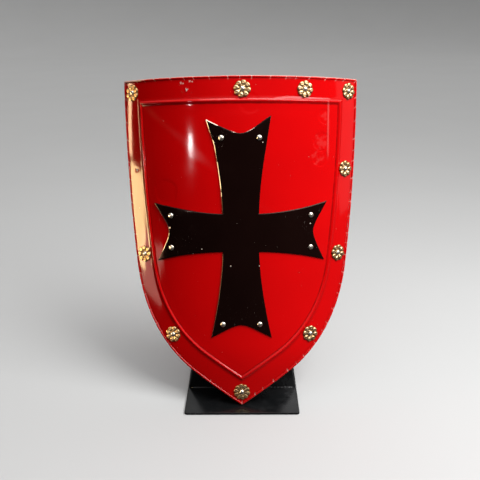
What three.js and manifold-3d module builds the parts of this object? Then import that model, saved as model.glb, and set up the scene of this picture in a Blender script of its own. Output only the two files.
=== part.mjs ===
// A curved steel heater shield, standing on its point on a black display stand.
//
// The face is one sheet of steel, bent about an upright axis, with its edge rolled over
// and a raised bead running round it parallel to the edge. A flared cross of sheet steel
// with notched ends is riveted over the middle, and pressed brass rosettes are riveted
// round the border. Two rosettes are lost, and their bare rivet holes are left open.
// The stand is a flat foot with a tapered upright fixed to it. The shield's point rests
// on the foot, and its back leans on the upright's top corners.
//
// Millimetres, +Z up, the shield's face towards -Y. The origin is the centre of the
// foot's underside. The sheet is described unrolled: "across" is measured round the
// curve from the middle, "up" from the point along the sheet, and "lift" outwards from
// the sheet's face.

import * as THREE from "three";
import { mergeVertices } from "three/addons/utils/BufferGeometryUtils.js";
import Module from "manifold-3d";

const wasm = await Module();
wasm.setup();

// ---- driving dimensions ----

// The sheet
const HEIGHT = 711;
const HALF_GIRTH = 281; // half the top edge, measured round the curve
const CURVE_RADIUS = 387; // of the bend about the upright axis
const SHEET = 1.2; // thickness of the steel
const SIDE_RADIUS = 2900; // slight bow of the long sides
const SHOULDER_UP = 306; // height at which the side turns in
const SHOULDER_RADIUS = 338;

// The rolled edge and the bead
const ROLL_RADIUS = 2.7;
const BAND = 51; // from the edge to the middle of the bead
const BEAD_WIDTH = 11;
const BEAD_HEIGHT = 2.6;

// The cross
const CROSS_UP = 383; // height of its centre
const CROSS_ARMS = { up: 240, right: 191, down: 231, left: 191 };
const CROSS_WAIST = { upright: 39, level: 41 }; // half widths where the arms meet
const CROSS_TIP = { upright: 66, level: 63 }; // half widths at the ends
const CROSS_NOTCH = 30; // depth of the notch in each end
const CROSS_MARGIN = 6; // width of the edge that is turned down
const CROSS_LIFT = 3.1; // how far its face stands off the sheet

// Rivets and rosettes
const RIVET = { head: 5.4, rise: 3.6, shank: 2.1, tail: 3.6, tailRise: 1.5 };
const HOLE_RADIUS = 2.7;
const ROSETTE = { radius: 18, petals: 8, rise: 3.6, eye: 6.5 };

// The stand
const LEAN = THREE.MathUtils.degToRad(12);
const FOOT = { width: 250, depth: 250, thickness: 5, corner: 6 };
const POINT_SETBACK = 28; // from the foot's front edge to the shield's point
const UPRIGHT_SETBACK = 72; // from the shield's point to the upright
const UPRIGHT = { bottom: 246, top: 130, thickness: 4 };

// Clearances between pieces that touch
const GAP = 0.35;
const TAIL_GAP = 0.75; // the sheet's back has flat facets
const EDGE_GAP = 0.85; // and so has the cross's turned-down edge
const REST_GAP = 1.0; // the upright's corners meet the flat facets of the sheet's back

// ---- shared shapes ----

/** A point of the bent sheet, from its place on the unrolled one. */
function onCurve(across, up, lift) {
  const turn = across / CURVE_RADIUS;
  const radius = CURVE_RADIUS + lift;
  return [radius * Math.sin(turn), CURVE_RADIUS - radius * Math.cos(turn), up];
}

/** A closed solid from rings of the same number of points, with a point at each end. */
function loft(start, rings, end) {
  const count = rings[0].length;
  const positions = [start, ...rings.flat(), end];
  const last = positions.length - 1;
  const at = (ring, step) => 1 + ring * count + (step % count);
  const index = [];
  for (let step = 0; step < count; step++) {
    index.push(0, at(0, step + 1), at(0, step));
    for (let ring = 0; ring + 1 < rings.length; ring++) {
      const [a, b] = [at(ring, step), at(ring, step + 1)];
      const [c, d] = [at(ring + 1, step), at(ring + 1, step + 1)];
      index.push(a, b, c, b, d, c);
    }
    index.push(last, at(rings.length - 1, step), at(rings.length - 1, step + 1));
  }
  return new THREE.BufferGeometry()
    .setAttribute("position", new THREE.Float32BufferAttribute(positions.flat(), 3))
    .setIndex(index);
}

/** A closed geometry as a solid that can be joined and cut. */
function solidOf(geometry) {
  const plain = geometry.clone();
  plain.deleteAttribute("normal");
  plain.deleteAttribute("uv");
  const merged = mergeVertices(plain, 1e-3);
  return new wasm.Manifold(
    new wasm.Mesh({
      numProp: 3,
      vertProperties: new Float32Array(merged.attributes.position.array),
      triVerts: new Uint32Array(merged.index.array),
    }),
  );
}

/** A solid back as a geometry. */
function geometryOf(solid) {
  const mesh = solid.getMesh();
  return new THREE.BufferGeometry()
    .setAttribute("position", new THREE.BufferAttribute(mesh.vertProperties, 3))
    .setIndex(new THREE.BufferAttribute(mesh.triVerts, 1));
}

/** Cuts a rivet hole square through the bent sheet at each of the places. */
function drilled(geometry, places) {
  return places.reduce((solid, { across, up }) => {
    const drill = new THREE.CylinderGeometry(HOLE_RADIUS, HOLE_RADIUS, 30, 8)
      .rotateZ(across / CURVE_RADIUS)
      .translate(...onCurve(across, up, 0));
    return solid.subtract(solidOf(drill));
  }, solidOf(geometry));
}

// ---- the outline of the sheet ----

const SIDE_STEPS = 8;
const SHOULDER_STEPS = 8;
const POINT_STEPS = 2;
const TOP_STEPS = 14;

// The side is a long shallow arc, then a shoulder arc, then a straight run to the point
// that touches the shoulder arc.
const sideTurn = Math.asin((HEIGHT - SHOULDER_UP) / SIDE_RADIUS);
const sideCentre = new THREE.Vector2(HALF_GIRTH - SIDE_RADIUS, HEIGHT);
const shoulderCentre = new THREE.Vector2(
  sideCentre.x + (SIDE_RADIUS - SHOULDER_RADIUS) * Math.cos(sideTurn),
  sideCentre.y - (SIDE_RADIUS - SHOULDER_RADIUS) * Math.sin(sideTurn),
);
const pointTurn =
  Math.atan2(shoulderCentre.x, shoulderCentre.y) +
  Math.asin(SHOULDER_RADIUS / shoulderCentre.length());

/** Points along an arc that runs down and inwards, without its last one. */
function arcPoints(centre, radius, from, to, steps) {
  return Array.from({ length: steps }, (_, step) => {
    const turn = from + ((to - from) * step) / steps;
    return [centre.x + radius * Math.cos(turn), centre.y - radius * Math.sin(turn)];
  });
}

/** The right-hand side from the top corner, ending just short of the point. */
function sidePoints(inset) {
  const sideRadius = SIDE_RADIUS - inset;
  const shoulderRadius = SHOULDER_RADIUS - inset;
  const cornerTurn = Math.asin(inset / sideRadius);
  const tangent = arcPoints(shoulderCentre, shoulderRadius, pointTurn, pointTurn, 1)[0];
  const point = [0, inset / Math.sin(pointTurn)];
  const run = Array.from({ length: POINT_STEPS }, (_, step) =>
    tangent.map((value, axis) => value + ((point[axis] - value) * step) / POINT_STEPS),
  );
  return [
    ...arcPoints(sideCentre, sideRadius, cornerTurn, sideTurn, SIDE_STEPS),
    ...arcPoints(shoulderCentre, shoulderRadius, sideTurn, pointTurn, SHOULDER_STEPS),
    ...run,
  ];
}

/** The whole outline, inset evenly, as [across, up] clockwise from the top left corner. */
function outline(inset) {
  const right = sidePoints(inset);
  const [corner, top] = right[0];
  const topEdge = Array.from({ length: TOP_STEPS }, (_, step) => [
    corner * ((2 * step) / TOP_STEPS - 1),
    top,
  ]);
  const left = right
    .slice(1)
    .reverse()
    .map(([across, up]) => [-across, up]);
  return [...topEdge, ...right, [0, inset / Math.sin(pointTurn)], ...left];
}

/** The points drawn in towards a centre, as a share of their distance from it. */
function shrunk(points, share, centreUp) {
  return points.map(([across, up]) => [across * share, centreUp + (up - centreUp) * share]);
}

// ---- the sheet ----

const FIELD_CENTRE_UP = CROSS_UP;
const FIELD_SHARES = [0.25, 0.5, 0.7, 0.87];
const BEAD_STEPS = 4;
const ROLL_STEPS = 6;

/** The pressed part of the sheet, from its middle out to the band, at one face of it. */
function pressedRings(faceLift) {
  const fieldEdge = outline(BAND + BEAD_WIDTH / 2);
  const field = FIELD_SHARES.map((share) =>
    shrunk(fieldEdge, share, FIELD_CENTRE_UP).map((p) => onCurve(...p, faceLift)),
  );
  const bead = Array.from({ length: BEAD_STEPS + 1 }, (_, step) => {
    const share = step / BEAD_STEPS;
    const inset = BAND + BEAD_WIDTH * (0.5 - share);
    const lift = faceLift + BEAD_HEIGHT * Math.sin(Math.PI * share);
    return outline(inset).map((p) => onCurve(...p, lift));
  });
  const border = outline(BAND / 2).map((p) => onCurve(...p, faceLift));
  return [...field, ...bead, border];
}

/** The edge of the sheet, rolled into a tube from its face round to its back. */
function rollRings() {
  const start = Math.asin(SHEET / 2 / ROLL_RADIUS);
  return Array.from({ length: ROLL_STEPS + 1 }, (_, step) => {
    const turn = start + ((2 * Math.PI - 2 * start) * step) / ROLL_STEPS;
    const inset = ROLL_RADIUS * (1 + Math.cos(turn));
    const lift = ROLL_RADIUS * Math.sin(turn) - SHEET / 2;
    return outline(inset).map((p) => onCurve(...p, lift));
  });
}

function sheetGeometry(holes) {
  const blank = loft(
    onCurve(0, FIELD_CENTRE_UP, 0),
    [...pressedRings(0), ...rollRings(), ...pressedRings(-SHEET).reverse()],
    onCurve(0, FIELD_CENTRE_UP, -SHEET),
  );
  return geometryOf(drilled(blank, holes));
}

// ---- the cross ----

const ARM_SIDE_STEPS = 4;
const NOTCH_STEPS = 6;
const FLARE = 1.6; // how late along the arm its sides spread
const NOTCH_ROUND = 0.25; // how round the bottom of the notch is
// A sharp tip draws back further than the edge does when the outline is inset.
const TIP_DRAW = { inwards: 1.39, back: 1.74, notch: 0.64 };

/** Half of one arm's outline, from its waist to the notch: [out along the arm, across]. */
function halfArm(length, waist, tip, start, inset) {
  const reach = length - TIP_DRAW.back * inset;
  const spread = tip - TIP_DRAW.inwards * inset;
  const notch = CROSS_NOTCH - TIP_DRAW.notch * inset;
  const side = Array.from({ length: ARM_SIDE_STEPS }, (_, step) => {
    const share = step / ARM_SIDE_STEPS;
    return [
      start - inset + (reach - start + inset) * share,
      waist - inset + (spread - waist + inset) * share ** FLARE,
    ];
  });
  const half = NOTCH_STEPS / 2;
  const end = Array.from({ length: half + 1 }, (_, step) => {
    const share = 1 - step / half;
    const full = Math.hypot(1, NOTCH_ROUND);
    const fall = (full - Math.hypot(share, NOTCH_ROUND)) / (full - NOTCH_ROUND);
    return [reach - notch * fall, spread * share];
  });
  return [...side, ...end];
}

/** The cross's outline, inset evenly, clockwise from the waist left of the upper arm. */
function crossOutline(inset) {
  const { upright, level } = CROSS_WAIST;
  const arms = [
    { length: CROSS_ARMS.up, waist: upright, tip: CROSS_TIP.upright, start: level, turn: 0 },
    { length: CROSS_ARMS.right, waist: level, tip: CROSS_TIP.level, start: upright, turn: 1 },
    { length: CROSS_ARMS.down, waist: upright, tip: CROSS_TIP.upright, start: level, turn: 2 },
    { length: CROSS_ARMS.left, waist: level, tip: CROSS_TIP.level, start: upright, turn: 3 },
  ];
  return arms.flatMap(({ length, waist, tip, start, turn }) => {
    const half = halfArm(length, waist, tip, start, inset);
    const near = half.map(([out, across]) => [-across, out]);
    const far = half
      .slice(1, -1)
      .reverse()
      .map(([out, across]) => [across, out]);
    const quarter = (-turn * Math.PI) / 2;
    return [...near, ...far].map(([x, y]) => [
      x * Math.cos(quarter) - y * Math.sin(quarter),
      x * Math.sin(quarter) + y * Math.cos(quarter) + CROSS_UP,
    ]);
  });
}

/** The cross is a plate whose edge is turned down to meet the sheet. */
function crossGeometry(holes) {
  const shares = [0.3, 0.58, 0.82];
  const flat = crossOutline(CROSS_MARGIN);
  const face = (lift) => [
    ...shares.map((share) => shrunk(flat, share, CROSS_UP).map((p) => onCurve(...p, lift))),
    flat.map((p) => onCurve(...p, lift)),
  ];
  const edge = (lift) => crossOutline(0).map((p) => onCurve(...p, lift));
  const under = CROSS_LIFT - SHEET;
  const plate = loft(
    onCurve(0, CROSS_UP, CROSS_LIFT),
    [...face(CROSS_LIFT), edge(EDGE_GAP + SHEET / 2), edge(EDGE_GAP), ...face(under).reverse()],
    onCurve(0, CROSS_UP, under),
  );
  return geometryOf(drilled(plate, holes));
}

// ---- rivets and rosettes ----

const TURNING_STEPS = 8;
const DOME_STEPS = 2;
const PETAL_STEPS = 3;

/** A dome-headed rivet along +Y, from its hammered tail to its head. */
function rivetGeometry(underHead) {
  const { head, rise, shank, tail, tailRise } = RIVET;
  const tailTop = -SHEET - TAIL_GAP;
  const dome = Array.from({ length: DOME_STEPS + 1 }, (_, step) => {
    const turn = (Math.PI / 2) * (step / DOME_STEPS);
    return [head * Math.cos(turn), underHead + rise * Math.sin(turn)];
  });
  const profile = [
    [0, tailTop - tailRise],
    [tail * 0.7, tailTop - tailRise],
    [tail, tailTop],
    [shank, tailTop],
    [shank, underHead],
    ...dome,
  ];
  profile[profile.length - 1][0] = 0;
  const points = profile.map(([x, y]) => new THREE.Vector2(x, y));
  return new THREE.LatheGeometry(points, TURNING_STEPS);
}

/** A pressed rosette about +Y: a ring of domed petals round an eye with a rivet hole. */
function rosetteGeometry() {
  const { radius, petals, rise, eye } = ROSETTE;
  const steps = petals * PETAL_STEPS;
  const scallop = (step) => Math.abs(Math.sin((Math.PI * step) / PETAL_STEPS));
  const ring = (reach, height, lobe, bulge) =>
    Array.from({ length: steps }, (_, step) => {
      const turn = (2 * Math.PI * step) / steps;
      const r = reach * (1 - lobe * (1 - scallop(step)));
      return [r * Math.cos(turn), height + bulge * scallop(step), r * Math.sin(turn)];
    });
  const lobe = 0.1;
  const body = loft(
    [0, 1.2, 0],
    [
      ring(eye, 1.2, 0, 0),
      ring(radius * 0.6, 1.6, 0, rise * 0.5),
      ring(radius * 0.88, 1.4, lobe, rise * 0.45),
      ring(radius, 0, lobe, 0),
    ],
    [0, 0, 0],
  );
  const drill = new THREE.CylinderGeometry(HOLE_RADIUS, HOLE_RADIUS, 20, 8);
  return geometryOf(solidOf(body).subtract(solidOf(drill)));
}

// ---- places on the sheet ----

/** Half the girth of the sheet at a height, less an inset from its edge. */
function halfGirthAt(up, inset) {
  const [first, ...rest] = [...sidePoints(inset), [0, inset / Math.sin(pointTurn)]];
  let above = first;
  for (const below of rest) {
    if (below[1] <= up) {
      const share = (above[1] - up) / (above[1] - below[1]);
      return above[0] + (below[0] - above[0]) * share;
    }
    above = below;
  }
  return 0;
}

const BORDER_INSET = 27; // rosettes sit in the middle of the border
const TOP_ROW_UP = HEIGHT - BORDER_INSET;
const SIDE_ROWS_UP = { upper: 516, middle: 330, lower: 154 };
const side = (up) => halfGirthAt(up, BORDER_INSET);
const corner = side(TOP_ROW_UP - 0.5);

const rosettePlaces = {
  top_left: { across: -corner, up: TOP_ROW_UP },
  top_middle: { across: 5, up: TOP_ROW_UP },
  top_inner_right: { across: 140, up: TOP_ROW_UP },
  top_right: { across: corner, up: TOP_ROW_UP },
  upper_right: { across: side(SIDE_ROWS_UP.upper), up: SIDE_ROWS_UP.upper },
  middle_right: { across: side(SIDE_ROWS_UP.middle), up: SIDE_ROWS_UP.middle },
  middle_left: { across: -side(SIDE_ROWS_UP.middle), up: SIDE_ROWS_UP.middle },
  lower_right: { across: side(SIDE_ROWS_UP.lower), up: SIDE_ROWS_UP.lower },
  lower_left: { across: -side(SIDE_ROWS_UP.lower), up: SIDE_ROWS_UP.lower },
  point: { across: 0, up: 31 },
};

const lostRosettePlaces = {
  top_inner_left: { across: -113, up: TOP_ROW_UP },
  upper_left: { across: -side(SIDE_ROWS_UP.upper), up: SIDE_ROWS_UP.upper },
};

// Two rivets near the end of each arm of the cross.
const ARM_RIVETS = { upright: { out: 200, apart: 39.5 }, level: { out: 154, apart: 35 } };
const crossRivetPlaces = {};
for (const [name, way] of [["upper", 1], ["lower", -1]]) {
  for (const [hand, sign] of [["left", -1], ["right", 1]]) {
    const { out, apart } = ARM_RIVETS.upright;
    crossRivetPlaces[`${name}_arm_${hand}`] = {
      across: sign * apart,
      up: CROSS_UP + way * out,
    };
  }
}
for (const [name, way] of [["left", -1], ["right", 1]]) {
  for (const [end, sign] of [["upper", 1], ["lower", -1]]) {
    const { out, apart } = ARM_RIVETS.level;
    crossRivetPlaces[`${name}_arm_${end}`] = {
      across: way * out,
      up: CROSS_UP + sign * apart,
    };
  }
}

// ---- the stand ----

// The lowest thing on the shield is the rolled edge at its point.
const pointHeight = FOOT.thickness + ROLL_RADIUS * Math.sin(LEAN) + GAP;
const pointY = -FOOT.depth / 2 + POINT_SETBACK;
const uprightY = pointY + UPRIGHT_SETBACK;

/** Height at which the upright's top corners meet the back of the leaning sheet. */
function uprightTop() {
  const innerRadius = CURVE_RADIUS - SHEET;
  const behind = CURVE_RADIUS - Math.sqrt(innerRadius ** 2 - (UPRIGHT.top / 2) ** 2);
  const reach = UPRIGHT_SETBACK * Math.cos(LEAN) - behind - REST_GAP;
  return pointHeight + reach / Math.sin(LEAN);
}

function footGeometry() {
  const { width, depth, thickness, corner: radius } = FOOT;
  const [x, y] = [width / 2, depth / 2];
  const footShape = new THREE.Shape()
    .moveTo(radius - x, -y)
    .lineTo(x - radius, -y)
    .absarc(x - radius, radius - y, radius, -Math.PI / 2, 0)
    .absarc(x - radius, y - radius, radius, 0, Math.PI / 2)
    .absarc(radius - x, y - radius, radius, Math.PI / 2, Math.PI)
    .absarc(radius - x, radius - y, radius, Math.PI, 1.5 * Math.PI);
  return new THREE.ExtrudeGeometry(footShape, {
    depth: thickness,
    bevelEnabled: false,
    curveSegments: 2,
  });
}

function uprightGeometry() {
  const foot = FOOT.thickness;
  const uprightShape = new THREE.Shape()
    .moveTo(-UPRIGHT.bottom / 2, foot)
    .lineTo(UPRIGHT.bottom / 2, foot)
    .lineTo(UPRIGHT.top / 2, uprightTop())
    .lineTo(-UPRIGHT.top / 2, uprightTop());
  return new THREE.ExtrudeGeometry(uprightShape, {
    depth: UPRIGHT.thickness,
    bevelEnabled: false,
  })
    .rotateX(Math.PI / 2)
    .translate(0, uprightY + UPRIGHT.thickness, 0);
}

// ---- materials ----

const redEnamel = new THREE.MeshStandardMaterial({
  color: 0xc80407,
  roughness: 0.12,
  metalness: 0.0,
});
const blackEnamel = new THREE.MeshStandardMaterial({
  color: 0x0c0808,
  roughness: 0.15,
  metalness: 0.0,
});
const brass = new THREE.MeshStandardMaterial({ color: 0xc9a05a, roughness: 0.3, metalness: 1 });
const rivetSteel = new THREE.MeshStandardMaterial({
  color: 0xd8d4cc,
  roughness: 0.25,
  metalness: 1,
});
const standPaint = new THREE.MeshStandardMaterial({
  color: 0x0b0c0d,
  roughness: 0.25,
  metalness: 0.0,
});

// ---- assembly ----

function piece(name, geometry, material) {
  const mesh = new THREE.Mesh(geometry, material);
  mesh.name = name;
  return mesh;
}

/** A turned or pressed piece, set square on the sheet with its +Y axis outwards. */
function setOnSheet(mesh, { across, up }, lift) {
  mesh.geometry = mesh.geometry.clone().rotateX(Math.PI);
  mesh.rotation.z = across / CURVE_RADIUS;
  mesh.position.set(...onCurve(across, up, lift));
  return mesh;
}

const shield = new THREE.Group();
const rivetHoles = Object.values(crossRivetPlaces);
const allHoles = [
  ...rivetHoles,
  ...Object.values(rosettePlaces),
  ...Object.values(lostRosettePlaces),
];
shield.add(piece("shield_sheet", sheetGeometry(allHoles), redEnamel));
shield.add(piece("cross", crossGeometry(rivetHoles), blackEnamel));

const crossRivet = rivetGeometry(CROSS_LIFT + GAP);
for (const [name, place] of Object.entries(crossRivetPlaces)) {
  shield.add(setOnSheet(piece(`cross_rivet_${name}`, crossRivet, rivetSteel), place, 0));
}

const rosette = rosetteGeometry();
const rosetteRivet = rivetGeometry(1.2 + 2 * GAP);
for (const [name, place] of Object.entries(rosettePlaces)) {
  shield.add(setOnSheet(piece(`rosette_${name}`, rosette, brass), place, GAP));
  shield.add(setOnSheet(piece(`rosette_rivet_${name}`, rosetteRivet, rivetSteel), place, 0));
}

shield.rotation.x = -LEAN;
shield.position.set(0, pointY, pointHeight);

const part = new THREE.Group();
part.add(piece("stand_foot", footGeometry(), standPaint));
part.add(piece("stand_upright", uprightGeometry(), standPaint));
part.add(shield);

export default part;
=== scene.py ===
"""A heater shield of enamelled steel, leaning on a flat black display stand.

The shield is one bent sheet with a rolled, crimped edge and a raised bead. A black cross
is riveted over its middle, and brass rosettes are riveted round its border. Two rosettes
are lost, and only their rivet holes are left.
"""

import logging
import math
import random
from dataclasses import dataclass, field
from enum import Enum

import bmesh
import bpy
from mathutils import Matrix, Vector, noise


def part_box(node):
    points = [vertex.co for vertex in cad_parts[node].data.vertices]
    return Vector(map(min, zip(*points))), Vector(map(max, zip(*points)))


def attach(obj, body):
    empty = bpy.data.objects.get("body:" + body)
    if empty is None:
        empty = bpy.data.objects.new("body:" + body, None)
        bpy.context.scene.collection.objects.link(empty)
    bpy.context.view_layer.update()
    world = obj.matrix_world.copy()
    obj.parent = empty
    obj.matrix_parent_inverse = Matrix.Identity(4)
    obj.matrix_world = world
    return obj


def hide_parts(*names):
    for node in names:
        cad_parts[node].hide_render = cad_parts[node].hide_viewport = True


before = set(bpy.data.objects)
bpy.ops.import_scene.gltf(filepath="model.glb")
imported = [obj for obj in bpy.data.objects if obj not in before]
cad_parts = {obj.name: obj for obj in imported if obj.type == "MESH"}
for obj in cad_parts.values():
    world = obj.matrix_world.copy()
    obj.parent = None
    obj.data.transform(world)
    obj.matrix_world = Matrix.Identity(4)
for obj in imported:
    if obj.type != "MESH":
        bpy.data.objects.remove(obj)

logging.basicConfig(level=logging.INFO, format="%(message)s")
log = logging.getLogger("shield")

MM = 0.001
BODY = "root"
SEED = 11
Colour = tuple[float, float, float, float]
Socket = bpy.types.NodeSocket
Material = bpy.types.Material
Piece = bpy.types.Object
Shape = bmesh.types.BMesh


class Slot(Enum):
    """The record's material slots."""

    RED_ENAMEL = "red_enamel"
    BLACK_ENAMEL = "black_enamel"
    BRASS = "brass"
    RIVET_STEEL = "rivet_steel"
    STAND_PAINT = "stand_paint"


# ---- node graphs ----


class Graph:
    """The node graph of one finish, with short ways to add to it."""

    def __init__(self, name: str) -> None:
        """Start a material.

        Args:
            name: the material's name.
        """
        self.material = bpy.data.materials.new(name)
        self.material.use_nodes = True
        self.tree = self.material.node_tree
        self.shader = self.tree.nodes["Principled BSDF"]
        self.place = self.add("ShaderNodeTexCoord").outputs["Object"]

    def add(self, kind: str, inputs: dict | None = None, **settings: object) -> bpy.types.Node:
        """Add a node.

        Args:
            kind: the node's type.
            inputs: what feeds its sockets, by name or number.
            settings: the node's own properties.

        Returns:
            The new node.
        """
        node = self.tree.nodes.new(kind)
        for key, value in settings.items():
            setattr(node, key, value)
        for key, value in (inputs or {}).items():
            self.feed(node.inputs[key], value)
        return node

    def feed(self, socket: Socket, value: object) -> None:
        """Set a socket to a value, or link it to another socket.

        Args:
            socket: the socket to feed.
            value: a plain value, or the socket that it comes from.
        """
        if isinstance(value, Socket):
            self.tree.links.new(value, socket)
        else:
            socket.default_value = value

    def give(self, name: str, value: object) -> None:
        """Feed one of the shader's own sockets."""
        self.feed(self.shader.inputs[name], value)

    def stretched(self, scale: tuple[float, float, float], turn: float = 0.0) -> Socket:
        """Object coordinates, stretched and turned about Y for a directional pattern."""
        inputs = {"Vector": self.place, "Scale": scale, "Rotation": (0.0, turn, 0.0)}
        return self.add("ShaderNodeMapping", inputs).outputs["Vector"]

    def noise(
        self,
        scale: float,
        detail: float = 3.0,
        roughness: float = 0.5,
        vector: Socket | None = None,
    ) -> Socket:
        """A noise value from 0 to 1.

        Args:
            scale: lumps in a metre.
            detail: octaves of finer noise.
            roughness: strength of the finer noise.
            vector: where the noise is read, or None for object coordinates.

        Returns:
            The value's socket.
        """
        inputs = {
            "Vector": vector or self.place,
            "Scale": scale,
            "Detail": detail,
            "Roughness": roughness,
        }
        return self.add("ShaderNodeTexNoise", inputs).outputs["Fac"]

    def math(self, operation: str, first: object, second: object = 0.0) -> Socket:
        """One sum on two values or sockets."""
        return self.add("ShaderNodeMath", {0: first, 1: second}, operation=operation).outputs[0]

    def times(self, first: object, second: object) -> Socket:
        """One value times another."""
        return self.math("MULTIPLY", first, second)

    def plus(self, first: object, extra: object, share: float) -> Socket:
        """A value with a share of another added to it."""
        return self.math("ADD", first, self.times(extra, share))

    def either(self, first: object, second: object) -> Socket:
        """The greater of two values."""
        return self.math("MAXIMUM", first, second)

    def rest(self, value: object) -> Socket:
        """What is left of 1 when a value is taken away."""
        return self.math("SUBTRACT", 1.0, value)

    def spread(
        self, value: Socket, low: float, high: float, to: tuple[float, float] = (0.0, 1.0)
    ) -> Socket:
        """Remap a value smoothly.

        Args:
            value: the value to remap.
            low: what becomes the first of the new limits.
            high: what becomes the second.
            to: the new limits.

        Returns:
            The remapped value's socket.
        """
        inputs = {"Value": value, "From Min": low, "From Max": high, "To Min": to[0], "To Max": to[1]}
        node = self.add("ShaderNodeMapRange", inputs, interpolation_type="SMOOTHSTEP")
        return node.outputs["Result"]

    def mix(self, share: object, first: object, second: object) -> Socket:
        """Blend two colours by a share from 0 to 1."""
        node = self.add("ShaderNodeMix", {0: share, 6: first, 7: second}, data_type="RGBA")
        return node.outputs[2]

    def spot(self, place: Vector, radius: float, ragged: float = 1.0) -> Socket:
        """A small mark with an uneven outline.

        Args:
            place: its middle.
            radius: its size.
            ragged: how uneven its outline is.

        Returns:
            1 inside the mark and 0 outside it.
        """
        uneven = self.math("SUBTRACT", self.noise(1.1 / radius, 3.0, 0.6), 0.5)
        away = self.plus(self.away_from(place), uneven, 2.2 * ragged * radius)
        return self.spread(away, radius, 0.72 * radius)

    def spots(
        self, chipped: Socket, bend: "Bend", lift: float, places: tuple[tuple[float, ...], ...]
    ) -> Socket:
        """Add small marks to the places that are already chipped.

        Args:
            chipped: 1 where the finish is already chipped.
            bend: the sheet's coordinates.
            lift: how far over the sheet's face the marks are.
            places: each mark's place across, place up and radius, in millimetres.

        Returns:
            1 where the finish is chipped or marked.
        """
        for across, up, radius in places:
            chipped = self.either(chipped, self.spot(bend.place(across * MM, up * MM, lift), radius * MM))
        return chipped

    def away_from(self, place: Vector) -> Socket:
        """The distance from a place."""
        inputs = {0: self.place, 1: tuple(place)}
        return self.add("ShaderNodeVectorMath", inputs, operation="DISTANCE").outputs["Value"]

    def marks(self, name: str) -> tuple[Socket, ...]:
        """Read the channels of a vertex attribute.

        Args:
            name: the attribute's name.

        Returns:
            Its red, green, blue and alpha sockets.
        """
        colour = self.add("ShaderNodeAttribute", attribute_name=name)
        parts = self.add("ShaderNodeSeparateColor", {"Color": colour.outputs["Color"]})
        return (*parts.outputs, colour.outputs["Alpha"])

    def bump(self, height: Socket, depth: float, strength: float = 1.0) -> None:
        """Add relief to the shader.

        Args:
            height: the relief, from 0 to 1.
            depth: its depth in metres.
            strength: how much of it shows.
        """
        inputs = {"Height": height, "Distance": depth, "Strength": strength}
        normal = self.shader.inputs["Normal"]
        if normal.is_linked:
            inputs["Normal"] = normal.links[0].from_socket
        self.feed(normal, self.add("ShaderNodeBump", inputs).outputs["Normal"])


# ---- finishes ----


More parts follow.
